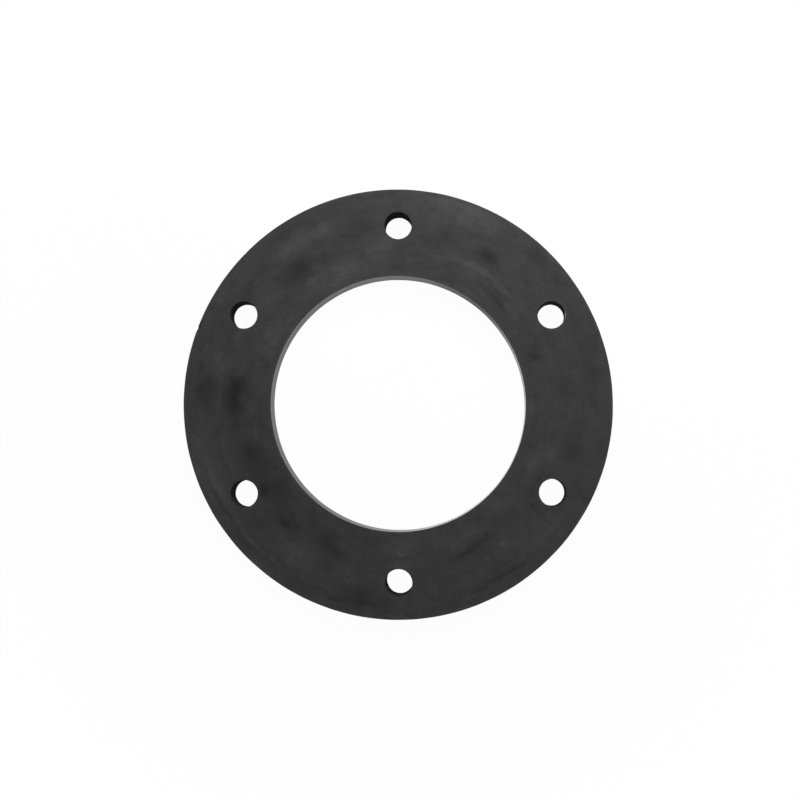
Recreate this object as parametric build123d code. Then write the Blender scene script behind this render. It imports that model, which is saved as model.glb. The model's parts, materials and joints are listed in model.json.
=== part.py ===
from build123d import *
import os

# Flat rubber gasket for a six-bolt pipe flange, cut in one piece from thick sheet.
# It lies on its underside. The bore's axis is Z and the underside is at z = 0.

# Driving sizes, in millimetres.
outside_diameter = 175.0  # the gasket ends level with the rims of the two flanges
bore_diameter = 104.0  # clears the waterway of the pipe
sheet_thickness = 10.0
bolt_circle_diameter = 145.0
bolt_hole_diameter = 11.0  # lets a 10 mm bolt through with clearance

# The bolt holes are spread evenly round the bolt circle, the first one on +Y.
bolt_hole_count = 6
first_bolt_hole_angle = 90.0  # degrees, turned from +X about the bore's axis


def sealing_face():
    """The outline of both sealing faces: a ring between two circles on one centre."""
    outer_edge = Circle(outside_diameter / 2)
    bore_edge = Circle(bore_diameter / 2)
    return outer_edge - bore_edge


def bolt_hole_pattern():
    """One punched circle at each bolt, on the bolt circle."""
    places = PolarLocations(bolt_circle_diameter / 2, bolt_hole_count, first_bolt_hole_angle)
    return places * Circle(bolt_hole_diameter / 2)


def make_flange_gasket():
    """The sheet cut square to its faces, so that each wall is a plain cylinder with sharp rims."""
    outline = sealing_face() - bolt_hole_pattern()
    gasket = extrude(outline, amount=sheet_thickness)
    gasket.label = "flange_gasket"
    gasket.color = Color(0.05, 0.05, 0.05)
    return gasket


os.makedirs("parts", exist_ok=True)
export_step(make_flange_gasket(), "parts/flange_gasket.step")
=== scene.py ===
import json
import math

import bmesh
import bpy
from mathutils import Matrix, Vector, noise


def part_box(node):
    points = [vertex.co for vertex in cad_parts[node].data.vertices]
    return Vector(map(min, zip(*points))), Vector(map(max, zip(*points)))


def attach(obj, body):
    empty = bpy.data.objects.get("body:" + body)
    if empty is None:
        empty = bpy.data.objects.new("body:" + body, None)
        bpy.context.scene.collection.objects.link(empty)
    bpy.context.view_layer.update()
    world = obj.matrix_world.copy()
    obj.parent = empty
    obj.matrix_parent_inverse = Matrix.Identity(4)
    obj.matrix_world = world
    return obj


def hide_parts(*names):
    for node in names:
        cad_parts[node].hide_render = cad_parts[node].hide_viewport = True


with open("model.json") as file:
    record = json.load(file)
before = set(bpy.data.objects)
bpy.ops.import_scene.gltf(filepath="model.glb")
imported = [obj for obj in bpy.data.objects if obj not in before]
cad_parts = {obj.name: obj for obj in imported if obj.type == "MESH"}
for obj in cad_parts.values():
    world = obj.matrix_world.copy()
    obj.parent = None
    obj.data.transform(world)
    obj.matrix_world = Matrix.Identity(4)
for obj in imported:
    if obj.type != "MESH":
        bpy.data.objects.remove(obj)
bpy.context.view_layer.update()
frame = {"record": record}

mm = 0.001
fullTurn = 2 * math.pi

# the gasket's sizes, as it was packed
mounts = {mount["name"]: mount for mount in frame["record"]["mounts"]}
thickness = mounts["bore"]["dims"]["length_mm"] * mm
boreRadius = mounts["bore"]["dims"]["r_mm"] * mm
boltCircle = mounts["bolt_holes"]["dims"]["pcd_mm"] / 2 * mm
boltHoleRadius = mounts["bolt_holes"]["dims"]["hole_r_mm"] * mm
boltHoleCount = mounts["bolt_holes"]["dims"]["count"]
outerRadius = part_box("flange_gasket")[1].x
sector = fullTurn / boltHoleCount
firstBoltHole = math.pi / 2
boltHoles = [Vector((boltCircle, 0)) for hole in range(boltHoleCount)]
for number, centre in enumerate(boltHoles):
    centre.rotate(Matrix.Rotation(firstBoltHole + number * sector, 2))
print("frame loaded:", boltHoleCount, "bolt holes")


class Wire:
    # one output of a node; arithmetic on it adds Math nodes
    def __init__(self, shader, socket):
        self.shader = shader
        self.socket = socket

    def maths(self, operation, *others):
        return self.shader.add("ShaderNodeMath", {"operation": operation}, dict(enumerate((self, *others))))

    def __add__(self, other):
        return self.maths("ADD", other)

    def __radd__(self, other):
        return self.maths("ADD", other)

    def __sub__(self, other):
        return self.maths("SUBTRACT", other)

    def __rsub__(self, other):
        return self.maths("MULTIPLY_ADD", -1.0, other)

    def __mul__(self, other):
        return self.maths("MULTIPLY", other)

    def __rmul__(self, other):
        return self.maths("MULTIPLY", other)

    def __neg__(self):
        return self.maths("MULTIPLY", -1.0)

    def exp(self):
        return self.maths("EXPONENT")

    def atLeast(self, low):
        return self.maths("MAXIMUM", low)

    def atMost(self, high):
        return self.maths("MINIMUM", high)


class Shader:
    # the nodes of one material, or of the world
    def __init__(self, owner):
        owner.use_nodes = True
        self.tree = owner.node_tree
        self.tree.nodes.clear()

    def add(self, kind, settings, sockets, out=0):
        node = self.tree.nodes.new(kind)
        for name, value in settings.items():
            setattr(node, name, value)
        for name, value in sockets.items():
            if isinstance(value, Wire):
                self.tree.links.new(value.socket, node.inputs[name])
            else:
                node.inputs[name].default_value = value
        return Wire(self, node.outputs[out]) if node.outputs else None

    def mixColour(self, factor, first, second):
        sockets = {"Factor": factor, 6: first, 7: second}
        return self.add("ShaderNodeMix", {"data_type": "RGBA"}, sockets, 2)

    def noiseTone(self, place, scale, detail=2.0, roughness=0.5):
        # noise from about -1 to 1, at so many lumps to the metre
        sockets = {"Vector": place, "Scale": scale, "Detail": detail, "Roughness": roughness}
        return self.add("ShaderNodeTexNoise", {}, sockets) * 2.0 - 1.0

    def mapped(self, kind, place, scale, centre=(0.0, 0.0, 0.0)):
        sockets = {"Vector": place, "Location": centre, "Scale": scale}
        return self.add("ShaderNodeMapping", {"vector_type": kind}, sockets)

    def objectPlace(self):
        return self.add("ShaderNodeTexCoord", {}, {}, "Object")

    def bump(self, height, distance, strength):
        sockets = {"Height": height, "Distance": distance, "Strength": strength}
        return self.add("ShaderNodeBump", {}, sockets)


def grey(level):
    return (level, level, level, 1.0)


rubber = {
    "black": 0.003,  # the deepest tone of the rubber
    "bloom": 0.080,  # the greyest tone, where the wax has come to the surface
    "tone": 0.36,  # how far the plain face lies from black to bloom
    "highlightGrey": 0.30,  # the grey of the painted highlight where the lip catches the light
    "lipHighlightSize": (0.17 * mm, 1.2 * mm, 0.4 * mm),  # the half width, half length and depth of the painted highlight on the lip
    "lipHighlightIn": 0.2 * mm,  # how far its middle lies inside the hole's rim, and as far towards -Y
    # how strongly the painted highlight on the lip shows
    "lipHighlightTone": 0.85,
    "drift": 0.10,  # how much the face's tone drifts from place to place
    "cloud": 0.74,  # how strongly it is clouded
    "streak": 0.26,  # and streaked along the ring
    "speck": 0.34,
    "grain": 0.40,
    # each noise has its lumps to the metre, its detail and its roughness
    "strayNoise": (170.0, 5.0),
    "driftNoise": (34.0, 2.0),
    "cloudNoise": (170.0, 6.0, 0.8),
    "streakNoise": (1.0, 4.0, 0.6),
    "streakScale": (6.0, 6.0, 420.0),  # round the ring, and outward
    "speckNoise": (1000.0, 2.0, 0.6),
    "grainNoise": (2400.0, 2.0, 0.7),
    "dimpleNoise": (700.0, 3.0),
    "leastTone": 0.1,  # the share of its plain tone that the darkest marks leave the face
    "faceRoughness": 0.68,
    "cloudRoughness": 0.08,  # how much rougher clouds make the face
    "toneRoughness": 0.06,  # and lighter marks
    "faceShine": 0.15,
    "faceGrainHeight": 0.7,  # the grain's share of the face's bumps
    "faceDimpleHeight": 0.3,
    "faceBump": (0.02 * mm, 0.6),  # how high the bumps are and how strongly they show
    "cutTone": 0.42,
    "cutLines": 0.30,
    "cutChatter": 0.20,
    "cutCloud": 0.35,
    "linesScale": (25.0, 25.0, 2400.0),
    "linesNoise": (1.0, 3.0, 0.6),
    "chatterScale": (420.0, 420.0, 60.0),
    "chatterNoise": (1.0, 3.0),
    "chatterHeight": 0.5,  # the chatter's height beside the lines'
    "cutCloudNoise": (90.0, 4.0, 0.6),
    "cutRoughness": 0.45,
    "cutUneven": 0.05,  # how much its roughness follows the lines, and the clouds
    "cutShine": 0.34,
    "cutBump": (0.02 * mm, 0.8),
    # darker than the cut walls' tone: the rubber's own black with painted shade of the holes' insides
    "holeToneWithShade": 0.30,
    "holeTears": 0.35,
    "tearsScale": (1900.0, 1900.0, 120.0),
    "tearsNoise": (1.0, 4.0, 0.65),
    "holeRoughness": 0.95,
    "holeUneven": 0.04,
    "holeShine": 0.03,
    "holeBump": (0.05 * mm, 0.8),
}

# Marks on the rubber, in groups of one shape. A mark has its angle in degrees, then its radius and half
# width in millimetres, then how much lighter or darker it is. A group's marks are "long" times as long
# along the ring as they are wide, and their outlines stray by "edge".
clouds = {
    "long": 1.5,
    "edge": 1.8 * mm,
    "marks": (
        (176, 66.5, 9.2, -0.68), (184, 67, 6.2, -0.28), (187, 58, 5.5, -0.20), (176, 78, 8, -0.44),
        (200, 63, 10.4, -0.52), (214, 61, 11, -0.52), (226, 65, 7.6, -0.44), (233, 57, 6.8, -0.24),
        (127, 68, 7.9, -0.36), (59, 70, 6, -0.40), (21, 58, 6.8, -0.28), (346, 72.5, 6.2, -0.36),
        (6, 69, 6.8, -0.20), (244, 64, 6.8, -0.36), (335, 79, 5.5, -0.16), (103, 72, 6, -0.10),
        (259, 80, 8, -0.36), (96, 66, 8.3, 0.40), (97, 82, 6.2, 0.24), (272, 60, 10.4, 0.36),
        (253, 72, 6.8, 0.28), (141, 69, 7.6, 0.36), (152, 59, 8.3, 0.32), (168, 73, 6.2, 0.24),
        (236, 73, 8.3, 0.28), (308, 72, 6.8, 0.28), (318, 79, 10.2, 0.32), (338, 62, 9.3, 0.10),
        (189, 66, 6.5, -0.28), (221, 74, 6.5, -0.28), (237, 62, 6.5, -0.28), (250, 69, 6.5, -0.28),
        (316, 57, 8, 0.28), (271, 67, 6, 0.24), (143, 56, 7, 0.34), (27, 80, 5, -0.20),
        (202, 57, 5, -0.20), (97, 58, 5, 0.24),
    ),
}
bands = {
    "long": 3.5,
    "edge": 1.5 * mm,
    "marks": (
        (44, 82, 4.5, -0.24), (12, 80, 6.3, -0.28), (298, 67, 4.5, -0.10), (73, 83, 8.9, 0.60),
        (200, 82, 7.6, 0.60), (228, 87, 4, 0.40), (114, 58, 8.2, 0.60), (294, 59, 6.8, 0.28),
        (121, 77, 5.7, 0.40), (60, 63, 5.9, 0.24), (142, 84, 6.8, 0.24),
    ),
}
spots = {
    "long": 1.6,
    "edge": 1.2 * mm,
    "marks": (
        (58.5, 70.3, 4.2, -0.32), (75, 69.5, 4.6, -0.22), (81, 68, 2.6, -0.22), (19, 58.5, 2.6, -0.34),
        (23, 61, 2.5, -0.20), (46, 82.5, 4, -0.22), (57, 83.5, 3.8, -0.20), (101, 73, 3.4, -0.16),
        (107.5, 71.5, 2.4, -0.40), (104.5, 57, 1.6, -0.34), (118, 67, 4, -0.26), (126, 68.3, 4.8, -0.24),
        (134, 72, 2.3, -0.22), (140.5, 77.3, 1.3, -0.28), (158.8, 86.9, 1.1, -1.0),
        (161, 81.4, 1.2, -0.24), (161.4, 79.4, 1.3, -0.28),
        (161.5, 58, 1.5, -0.28), (163.5, 56.3, 1.5, -0.28), (173.5, 66.5, 5, -0.30),
        (180, 67.5, 4, -0.24), (169.5, 80.8, 1.9, -0.30), (175.5, 80.8, 3, -0.34), (197.5, 64.5, 2.7, -0.30),
        (212, 65, 2.7, -0.45), (207.5, 56.5, 1.6, -0.28), (225.5, 67, 3.6, -0.30), (231, 64, 2.8, -0.25),
        (242.5, 63.2, 3.7, -0.25), (248, 66, 3.1, -0.22), (260, 78, 3.4, -0.14), (304, 63.5, 1.8, -0.48),
        (309, 62, 2.5, -0.25), (322.5, 68.5, 2, -0.45), (326.5, 64, 1.2, -0.36), (331, 64.6, 1.5, -0.48),
        (278, 73.5, 1.9, -0.20), (126, 77.8, 4.2, 0.39), (113, 77, 3.8, 0.30), (125, 60, 3.6, 0.28),
        (154.5, 57.5, 3, 0.34), (157.5, 71, 2.3, 0.34), (158, 84, 2.5, 0.34), (165, 81.5, 3.1, 0.22),
        (191.5, 59.3, 2.1, 0.25), (200, 72, 3.2, 0.22), (270.8, 61, 1.7, 0.50), (262, 71, 2, 0.30),
        (306.8, 71.2, 1.3, 0.64), (299.7, 72.3, 1.5, 0.42), (334.5, 60, 2.4, 0.36), (341, 66, 3.4, 0.30),
    ),
}
rubs = {
    "long": 5.0,
    "edge": 0.6 * mm,
    "marks": (
        (41, 60, 1.6, 0.28), (47, 62.8, 1.8, 0.40), (54, 63.8, 2.1, 0.36), (61, 64, 2.1, 0.42),
        (68, 63.2, 1.8, 0.34), (75, 61.8, 1.7, 0.20), (84, 59.4, 1.4, 0.17), (93, 58.4, 1.4, 0.17),
        (47, 57.8, 2.1, -0.42), (54, 59.2, 1.7, -0.34), (90, 55.8, 2.6, -0.28), (194, 82.4, 1.7, 0.28),
        (200, 81.4, 1.7, 0.34), (206, 80.6, 1.2, 0.30), (217, 81, 1.4, 0.30), (224, 81.6, 1.6, 0.42),
        (231, 81.4, 1.4, 0.28), (208, 83, 1.9, -0.48), (213, 82.4, 1.5, -0.36), (221, 83.8, 1.8, -0.36),
        (234, 80, 1.6, -0.22), (241, 82.6, 1.6, -0.28), (252, 83.4, 1.4, -0.45), (260, 82.2, 2, -0.28),
        (294, 82.4, 1.3, -0.36), (300, 81.5, 1.3, -0.40), (305, 82, 1.3, -0.48), (307.5, 83.2, 0.9, -0.36),
        (290.5, 83.8, 1, 0.34), (281, 82.7, 1.3, 0.20), (44, 86.9, 1.5, 0.30), (57, 86.9, 1.5, 0.30),
        (69, 85, 2.1, 0.28), (178, 86.9, 1.2, 0.22), (187, 86.9, 1.2, 0.22), (301, 53.6, 1.3, 0.25),
        (311, 53.6, 1.3, 0.25), (358, 54, 1.9, 0.25), (55, 54, 1.8, 0.20), (124, 83.5, 3, -0.22),
        (194.5, 74.8, 1, -0.22), (169, 74, 1.7, 0.20), (176.5, 73, 1.3, 0.45), (299, 60.5, 1.8, 0.20),
        (291, 67, 1.8, -0.22), (296, 66.2, 1.5, -0.42), (301, 65.2, 1.4, -0.42),
    ),
}
# how rubbing has greyed the rims of both faces: long enough to go all the way round
rimWear = {"long": 1000.0, "edge": 0.2 * mm, "marks": ((0, 87.5, 1.7, 0.16), (0, 52, 1.4, 0.16))}
# where the bore's wall is smoother or, below nought, rougher
polish = {"long": 6.0, "edge": 1.0 * mm, "marks": ((325, 52, 19, 0.40), (52, 52, 7, -0.16))}


def ringPlace(shader, place, turnLength=1.0):
    # x and y give the direction from the bore's axis, as a circle of that radius, and z the distance from it
    flat = shader.mapped("POINT", place, (1.0, 1.0, 0.0))
    direction = shader.add("ShaderNodeVectorMath", {"operation": "NORMALIZE"}, {0: flat})
    distance = shader.add("ShaderNodeVectorMath", {"operation": "LENGTH"}, {0: flat}, "Value")
    outward = shader.add("ShaderNodeCombineXYZ", {}, {"Z": distance})
    turn = shader.add("ShaderNodeVectorMath", {"operation": "SCALE"}, {0: direction, "Scale": turnLength})
    return shader.add("ShaderNodeVectorMath", {"operation": "ADD"}, {0: turn, 1: outward})


def strayed(shader, place, distance):
    # the same place, moved about by noise, whose values mostly lie within a quarter of its middle
    scale, detail = rubber["strayNoise"]
    stray = shader.add("ShaderNodeTexNoise", {}, {"Vector": place, "Scale": scale, "Detail": detail}, "Color")
    centred = shader.add("ShaderNodeVectorMath", {"operation": "SUBTRACT"}, {0: stray, 1: (0.5, 0.5, 0.5)})
    moved = shader.add("ShaderNodeVectorMath", {"operation": "SCALE"}, {0: centred, "Scale": distance * 4})
    return shader.add("ShaderNodeVectorMath", {"operation": "ADD"}, {0: place, 1: moved})


def markTone(shader, place, group):
    # the sum of a group's marks; each is strongest at its middle and fades out evenly
    turnLength = boltCircle / group["long"]
    ring = ringPlace(shader, strayed(shader, place, group["edge"]), turnLength)
    total = 0.0
    for angle, radius, reach, strength in group["marks"]:
        turn = math.radians(angle)
        centre = (turnLength * math.cos(turn), turnLength * math.sin(turn), radius * mm)
        away = shader.add("ShaderNodeVectorMath", {"operation": "DISTANCE"}, {0: ring, 1: centre}, "Value")
        sockets = {"Value": away, "From Max": reach * mm, "To Min": strength, "To Max": 0.0}
        total = shader.add("ShaderNodeMapRange", {"interpolation_type": "SMOOTHSTEP"}, sockets) + total
    return total


def oval(shader, place, centre, size):
    # 1 at the middle of a soft oval, fading to 0 round it
    local = shader.mapped("TEXTURE", place, size, centre)
    spread = shader.add("ShaderNodeVectorMath", {"operation": "DOT_PRODUCT"}, {0: local, 1: local}, "Value")
    return (-spread).exp()


def paintedLipHighlight(shader, place):
    # a painted highlight where the lip that the punch raised on the +X side of the last bolt hole catches the
    # light
    across, along, deep = rubber["lipHighlightSize"]
    spot = boltHoles[-1] + Vector((boltHoleRadius - rubber["lipHighlightIn"], -rubber["lipHighlightIn"]))
    return oval(shader, place, (*spot, thickness), (across, along, deep)) * rubber["lipHighlightTone"]


def rubberTone(tone):
    # the tone's place between black and bloom, as a colour
    return tone.shader.mixColour(tone.atLeast(0.0).atMost(1.0), grey(rubber["black"]), grey(rubber["bloom"]))


def finishRubber(colour, roughness, shine, normal):
    shader = colour.shader
    sockets = {
        "Base Color": colour,
        "Roughness": roughness,
        "Specular IOR Level": shine,
        "Normal": normal,
    }
    surface = shader.add("ShaderNodeBsdfPrincipled", {}, sockets)
    shader.add("ShaderNodeOutputMaterial", {}, {"Surface": surface})


def makeFaceRubber():
    material = bpy.data.materials.new("faceRubber")
    shader = Shader(material)
    place = shader.objectPlace()
    upper = (shader.add("ShaderNodeSeparateXYZ", {}, {0: place}, "Z") * (1.0 / thickness)).atLeast(0.0)
    drift = shader.noiseTone(place, *rubber["driftNoise"])
    tone = 1.0 + rubber["drift"] * drift + markTone(shader, place, rimWear)
    for group in (clouds, bands, spots, rubs):
        tone = tone + markTone(shader, place, group) * upper
    cloud = shader.noiseTone(place, *rubber["cloudNoise"])
    streakPlace = shader.mapped("POINT", ringPlace(shader, place), rubber["streakScale"])
    streak = shader.noiseTone(streakPlace, *rubber["streakNoise"])
    speck = shader.noiseTone(place, *rubber["speckNoise"])
    grain = shader.noiseTone(place, *rubber["grainNoise"])
    mottle = 1.0 + rubber["cloud"] * cloud + rubber["streak"] * streak
    mottle = mottle + rubber["speck"] * speck + rubber["grain"] * grain
    colour = rubberTone(tone.atLeast(rubber["leastTone"]) * mottle * rubber["tone"])
    # the painted highlight on the lip, mixed into the face's colour
    colour = shader.mixColour(paintedLipHighlight(shader, place), colour, grey(rubber["highlightGrey"]))
    roughness = rubber["faceRoughness"] + rubber["cloudRoughness"] * cloud
    roughness = roughness + rubber["toneRoughness"] * tone - rubber["toneRoughness"]
    grainHeight = rubber["faceGrainHeight"] * grain
    height = grainHeight + rubber["faceDimpleHeight"] * shader.noiseTone(place, *rubber["dimpleNoise"])
    finishRubber(colour, roughness, rubber["faceShine"], shader.bump(height, *rubber["faceBump"]))
    return material


def makeCutRubber():
    # the walls that the turning knife left: fine lines that run round the ring
    material = bpy.data.materials.new("cutRubber")
    shader = Shader(material)
    place = shader.objectPlace()
    linesPlace = shader.mapped("POINT", place, rubber["linesScale"])
    lines = shader.noiseTone(linesPlace, *rubber["linesNoise"])
    chatterPlace = shader.mapped("POINT", place, rubber["chatterScale"])
    chatter = shader.noiseTone(chatterPlace, *rubber["chatterNoise"])
    cloud = shader.noiseTone(place, *rubber["cutCloudNoise"])
    mottle = 1.0 + rubber["cutLines"] * lines + rubber["cutChatter"] * chatter + rubber["cutCloud"] * cloud
    colour = rubberTone(mottle * rubber["cutTone"])
    roughness = rubber["cutRoughness"] + rubber["cutUneven"] * lines + rubber["cutUneven"] * cloud
    roughness = roughness - markTone(shader, place, polish)
    height = lines + rubber["chatterHeight"] * chatter
    finishRubber(colour, roughness, rubber["cutShine"], shader.bump(height, *rubber["cutBump"]))
    return material


def makePunchedRubber():
    # the walls of the bolt holes: torn along the punch's way and dull; their near-black is partly the rubber's
    # own tone and partly painted shade inside the holes
    material = bpy.data.materials.new("punchedRubber")
    shader = Shader(material)
    place = shader.objectPlace()
    tearsPlace = shader.mapped("POINT", place, rubber["tearsScale"])
    tears = shader.noiseTone(tearsPlace, *rubber["tearsNoise"])
    # the punched walls' tone holds painted shade inside the bolt holes
    colour = rubberTone((1.0 + rubber["holeTears"] * tears) * rubber["holeToneWithShade"])
    # the painted highlight on the lip, mixed into the punched wall's colour
    colour = shader.mixColour(paintedLipHighlight(shader, place), colour, grey(rubber["highlightGrey"]))
    roughness = rubber["holeRoughness"] + rubber["holeUneven"] * tears
    finishRubber(colour, roughness, rubber["holeShine"], shader.bump(tears, *rubber["holeBump"]))
    return material


gasket = {
    "outerSteps": 60,  # edges along the outer rim of each bolt hole's sector
    "boreSteps": 32,
    "sideSteps": 18,
    "rings": 10,  # rows of faces from a bolt hole to the rims
    "ringSpread": 1.3,  # over 1 packs the rows closer round the hole
    "wallRows": 10,
    "rimRadius": 0.16 * mm,
    "rimSegments": 3,
    "rimAngle": 60.0,  # degrees; edges sharper than this are rims
    "flatNormal": 0.9,  # a face whose normal is this upright belongs to a sealing face
    # each wave has its height and its lumps to the metre
    "faceWave": (0.05 * mm, 45.0),  # how far the upper face lies below true flat
    "wallWave": (0.05 * mm, 160.0),
    "holeWave": (0.035 * mm, 500.0),
    "ragLumps": 1800.0,
    "rimReach": 0.5 * mm,  # what lies this near a cut or the upper face moves with it
    # in bolt hole radii: what lies nearer moves with the hole's wall, and a wall that lies nearer is the hole's
    "holeReach": 1.1,
    "holeWallReach": 1.3,
    "weldReach": 0.01 * mm,  # points this near each other become one
    "wallHollow": 0.08 * mm,  # how far a cut is hollowed halfway down
    "boreLean": 0.07 * mm,  # the bore is this much narrower halfway down and as much again at the underside
    "holeLean": 0.05 * mm,  # a bolt hole is this much wider at the upper face and narrower at the underside
    "boreFootStray": (2, 0.15 * mm, -17),  # how the bore's lower rim strays from the upper one
    # how the ring strays from true: times round it, how far and the angle where it strays furthest out
    "ringStray": ((2, 0.17 * mm, 113), (3, 0.08 * mm, 95)),
    "outerStray": 0.32 * mm,  # how far the outer cut is off the bore's centre, towards -Y
    "outerNick": (159, 0.25 * mm, 0.8 * mm),  # the angle, depth and half width of a nick in the outer rim
    # for each bolt hole from +Y counter-clockwise, in millimetres: how far it drifted, how far its lower end
    # lies from its upper end and how ragged its upper rim is on the side away from the bore
    "holeDrift": ((0.1, 0.05), (-0.05, 0.25), (-0.1, -0.05), (-0.05, -0.2), (-0.1, 0.2), (-0.2, 0.05)),
    "holeTilt": ((-0.05, -0.36), (-0.17, -0.07), (0.2, 0.03), (0.25, 0.42), (0.03, -0.10), (0.40, -0.03)),
    "holeRag": (0.40, 0.10, 0.08, 0.12, 0.06, 0.08),
}


def sectorOutline():
    # the rim of the sector round a bolt hole on +X, counter-clockwise from the outer rim's middle
    half = sector / 2
    outerSteps, boreSteps = gasket["outerSteps"], gasket["boreSteps"]
    outer = [(outerRadius, half * step * 2 / outerSteps) for step in range(outerSteps // 2)]
    drop = (outerRadius - boreRadius) / gasket["sideSteps"]
    side = [(outerRadius - drop * step, half) for step in range(gasket["sideSteps"])]
    bore = [(boreRadius, half - half * step * 2 / boreSteps) for step in range(boreSteps // 2)]
    upper = outer + side + bore + [(boreRadius, 0.0)]
    lower = [(radius, -angle) for radius, angle in reversed(upper[1:-1])]
    return [Vector((r * math.cos(a), r * math.sin(a), 0.0)) for r, a in upper + lower]


def addSector(bm):
    # rows of faces that grow from the bolt hole's rim to the sector's rim
    outline = sectorOutline()
    spoke = bm.verts.layers.int.new("spoke")
    centre = Matrix.Translation((boltCircle, 0.0, 0.0))
    rim = bmesh.ops.create_circle(bm, segments=len(outline), radius=boltHoleRadius, matrix=centre)["verts"]
    for vertex in rim:
        offset = vertex.co - centre.translation
        share = math.atan2(offset.y, offset.x) % fullTurn / fullTurn
        vertex[spoke] = round(share * len(outline)) % len(outline)
    starts = {vertex[spoke]: vertex.co.copy() for vertex in rim}
    edges = bm.edges[:]
    for ring in range(1, gasket["rings"] + 1):
        share = (ring / gasket["rings"]) ** gasket["ringSpread"]
        grown = bmesh.ops.extrude_edge_only(bm, edges=edges)["geom"]
        for vertex in [item for item in grown if isinstance(item, bmesh.types.BMVert)]:
            vertex.co = starts[vertex[spoke]].lerp(outline[vertex[spoke]], share)
        edges = [item for item in grown if isinstance(item, bmesh.types.BMEdge)]
        edges = [edge for edge in edges if len(edge.link_faces) == 1]


def addThickness(bm):
    grown = bmesh.ops.extrude_face_region(bm, geom=bm.faces[:])["geom"]
    raised = [item for item in grown if isinstance(item, bmesh.types.BMVert)]
    bmesh.ops.translate(bm, verts=raised, vec=(0.0, 0.0, thickness))
    bmesh.ops.recalc_face_normals(bm, faces=bm.faces[:])
    upright = [edge for edge in bm.edges if abs(edge.verts[0].co.z - edge.verts[1].co.z) > thickness / 2]
    bmesh.ops.subdivide_edges(bm, edges=upright, cuts=gasket["wallRows"] - 1, use_grid_fill=True)


def roundRims(bm):
    rims = [edge for edge in bm.edges if edge.calc_face_angle(0.0) > math.radians(gasket["rimAngle"])]
    settings = {"offset": gasket["rimRadius"], "offset_type": "OFFSET", "segments": gasket["rimSegments"]}
    bmesh.ops.bevel(bm, geom=rims, affect="EDGES", profile=0.5, material=-1, **settings)


def nearestHole(place):
    return min(boltHoles, key=lambda centre: (place.xy - centre).length)


def faceKind(face):
    # 0 for the sealing faces, 1 for the bore and the outer wall, 2 for the bolt holes
    if abs(face.normal.z) > gasket["flatNormal"]:
        return 0
    middle = face.calc_center_median()
    nearHole = (middle.xy - nearestHole(middle)).length < boltHoleRadius * gasket["holeWallReach"]
    return 2 if nearHole else 1


def bulge(angle, times, far, at):
    return far * math.cos(times * (angle - math.radians(at)))


def wander(bm):
    # what cutting and lying about do to a plain ring
    middle = (boreRadius + outerRadius) / 2
    nickAngle, nickDepth, nickWidth = gasket["outerNick"]
    faceWave, faceLumps = gasket["faceWave"]
    wallWave, wallLumps = gasket["wallWave"]
    holeWave, holeLumps = gasket["holeWave"]
    rimReach = gasket["rimReach"]
    for vertex in bm.verts:
        place = vertex.co.copy()
        radius = place.xy.length
        angle = math.atan2(place.y, place.x)
        outward = place.xy.normalized()
        centre = nearestHole(place)
        offset = place.xy - centre
        height = place.z / thickness * 2 - 1  # -1 on the underside, 1 on the upper face
        hollow = (1 - height * height) * gasket["wallHollow"]
        move = outward * sum(bulge(angle, *stray) for stray in gasket["ringStray"])
        move += Vector((0.0, -gasket["outerStray"])) * max(0.0, (radius - middle) / (outerRadius - middle))
        # 1 up to a bolt hole's rim, 0 from twice its radius
        near = min(1.0, max(0.0, 2.0 - offset.length / boltHoleRadius))
        drift = Vector(gasket["holeDrift"][boltHoles.index(centre)]) * mm
        tilt = Vector(gasket["holeTilt"][boltHoles.index(centre)]) * mm
        move += (drift + tilt * (1 - height) / 2) * near
        if offset.length < boltHoleRadius * gasket["holeReach"]:
            away = max(0.0, offset.normalized().dot(centre.normalized()))
            ragged = gasket["holeRag"][boltHoles.index(centre)] * max(0.0, height) * away * mm
            rag = ragged * noise.noise(place * gasket["ragLumps"]) + holeWave * noise.noise(place * holeLumps)
            move += offset.normalized() * (rag + hollow + height * gasket["holeLean"])
        elif radius < boreRadius + rimReach:
            foot = bulge(angle, *gasket["boreFootStray"]) * (1 - height) / 2
            lean = (height - 1) * gasket["boreLean"] + foot
            move += outward * (noise.noise(place * wallLumps) * wallWave + hollow + lean)
        elif radius > outerRadius - rimReach:
            along = (angle - math.radians(nickAngle)) * outerRadius / nickWidth
            nick = nickDepth * math.exp(-along * along) * max(0.0, height)
            move += outward * (noise.noise(place * wallLumps) * wallWave - hollow - nick)
        vertex.co.xy += move
        if place.z > thickness - rimReach:
            vertex.co.z -= (0.5 + 0.5 * noise.noise(place * faceLumps)) * faceWave


def makeGasket():
    bm = bmesh.new()
    addSector(bm)
    toFirst = Matrix.Rotation(firstBoltHole, 3, "Z")
    bmesh.ops.rotate(bm, verts=bm.verts[:], cent=(0.0, 0.0, 0.0), matrix=toFirst)
    bmesh.ops.spin(
        bm, geom=bm.verts[:] + bm.edges[:] + bm.faces[:], cent=(0.0, 0.0, 0.0), axis=(0.0, 0.0, 1.0),
        angle=fullTurn - sector, steps=boltHoleCount - 1, use_duplicate=True,
    )
    bmesh.ops.remove_doubles(bm, verts=bm.verts[:], dist=gasket["weldReach"])
    addThickness(bm)
    roundRims(bm)
    bm.normal_update()
    for face in bm.faces:
        face.smooth = True
        face.material_index = faceKind(face)
    wander(bm)
    mesh = bpy.data.meshes.new("gasketRing")
    bm.to_mesh(mesh)
    bm.free()
    for material in (makeFaceRubber(), makeCutRubber(), makePunchedRubber()):
        mesh.materials.append(material)
    piece = bpy.data.objects.new("gasketRing", mesh)
    bpy.context.scene.collection.objects.link(piece)
    weighted = piece.modifiers.new("evenShading", "WEIGHTED_NORMAL")
    weighted.keep_sharp = True
    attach(piece, "root")
    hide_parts("flange_gasket")
    print("gasket made:", len(mesh.polygons), "faces")


makeGasket()


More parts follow.
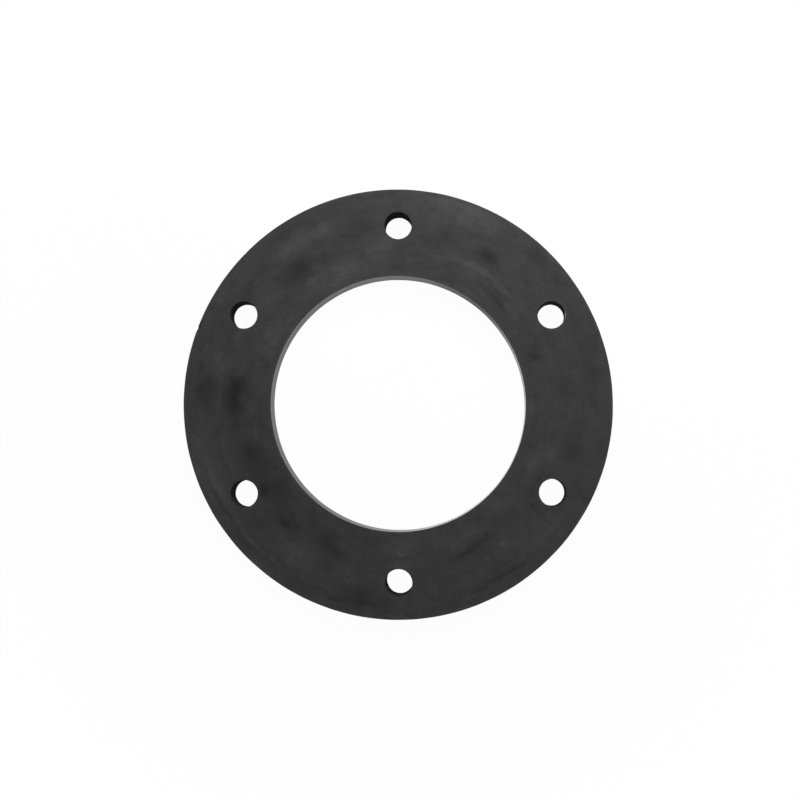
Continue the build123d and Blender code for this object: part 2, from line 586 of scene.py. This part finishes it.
studio = {
    "floorRadius": 4.0,
    "floorEdges": 96,
    "floorDrop": 0.02 * mm,  # how far it lies below the gasket's underside
    "floorColour": 0.9,
    "floorWhite": 0.97,  # how much of the floor seen by the gasket is plain white; the rest shows its shadow
    "shadowReach": 0.11,  # the shadow fades from this far out, and is gone at twice as far
    "skyLevel": 0.36,  # even light from all round
    "keyLevel": 0.64,  # light from the softbox, at the gasket's middle
    "keyAngle": 70.0,  # degrees from +X
    "keyOut": 0.26,
    "keyUp": 0.24,
    "keySize": 0.22,
}


def seenRays(shader):
    # 1 for the camera, a reflection or a view through glass, 0 for light that bounces
    camera = shader.add("ShaderNodeLightPath", {}, {}, "Is Camera Ray")
    glossy = shader.add("ShaderNodeLightPath", {}, {}, "Is Glossy Ray")
    through = shader.add("ShaderNodeLightPath", {}, {}, "Is Transmission Ray")
    return (camera + glossy + through).atMost(1.0)


def makeFloor():
    bm = bmesh.new()
    below = Matrix.Translation((0.0, 0.0, -studio["floorDrop"]))
    rim = {"segments": studio["floorEdges"], "radius": studio["floorRadius"]}
    bmesh.ops.create_circle(bm, cap_ends=True, matrix=below, **rim)
    mesh = bpy.data.meshes.new("floor")
    bm.to_mesh(mesh)
    bm.free()
    material = bpy.data.materials.new("paleFloor")
    shader = Shader(material)
    lit = shader.add("ShaderNodeBsdfDiffuse", {}, {"Color": grey(studio["floorColour"])})
    white = shader.add("ShaderNodeEmission", {}, {"Color": grey(1.0), "Strength": 1.0})
    reach = {0: shader.objectPlace()}
    distance = shader.add("ShaderNodeVectorMath", {"operation": "LENGTH"}, reach, "Value")
    fade = (distance * (1.0 / studio["shadowReach"]) - 1.0).atLeast(0.0).atMost(1.0)
    factor = seenRays(shader) * (studio["floorWhite"] + (1.0 - studio["floorWhite"]) * fade)
    surface = shader.add("ShaderNodeMixShader", {}, {0: factor, 1: lit, 2: white})
    shader.add("ShaderNodeOutputMaterial", {}, {"Surface": surface})
    mesh.materials.append(material)
    floor = bpy.data.objects.new("floor", mesh)
    bpy.context.scene.collection.objects.link(floor)


def makeSky():
    world = bpy.data.worlds.new("paleSky")
    bpy.context.scene.world = world
    shader = Shader(world)
    strength = studio["skyLevel"] + (1.0 - studio["skyLevel"]) * seenRays(shader)
    light = shader.add("ShaderNodeBackground", {}, {"Color": grey(1.0), "Strength": strength})
    shader.add("ShaderNodeOutputWorld", {}, {"Surface": light})


def addSoftbox(name, place, size, level):
    # level is what a white surface under it, at the gasket's middle, would show
    lamp = bpy.data.lights.new(name, "AREA")
    lamp.shape = "SQUARE"
    lamp.size = size
    lamp.energy = level * (math.pi * place.length) ** 2 * place.length / place.z
    softbox = bpy.data.objects.new(name, lamp)
    softbox.location = place
    softbox.rotation_euler = (-place).to_track_quat("-Z", "Y").to_euler()
    bpy.context.scene.collection.objects.link(softbox)


makeFloor()
makeSky()
keyTurn = math.radians(studio["keyAngle"])
keyOut = studio["keyOut"]
keyPlace = Vector((keyOut * math.cos(keyTurn), keyOut * math.sin(keyTurn), studio["keyUp"]))
addSoftbox("keySoftbox", keyPlace, studio["keySize"], studio["keyLevel"])
print("studio lit")


view = {
    "foot": (26.1 * mm, -21.8 * mm),  # the point that lies straight below the lens
    "height": 477.4 * mm,  # above the upper face
    "sensor": 36.0,  # millimetres, as is the lens
    "lens": 52.8,
    "roll": -0.15,  # degrees
    "shift": (-0.0781, 0.0719),
    "clip": (0.01, 20.0),
}


def makeCamera():
    camera = bpy.data.cameras.new("camera")
    camera.sensor_width = view["sensor"]
    camera.lens = view["lens"]
    camera.shift_x, camera.shift_y = view["shift"]
    camera.clip_start, camera.clip_end = view["clip"]
    holder = bpy.data.objects.new("camera", camera)
    holder.location = (*view["foot"], thickness + view["height"])
    holder.rotation_euler = (0.0, 0.0, math.radians(view["roll"]))
    bpy.context.scene.collection.objects.link(holder)
    bpy.context.scene.camera = holder


makeCamera()
bpy.context.scene.view_settings.view_transform = "Standard"

print("scene ready")
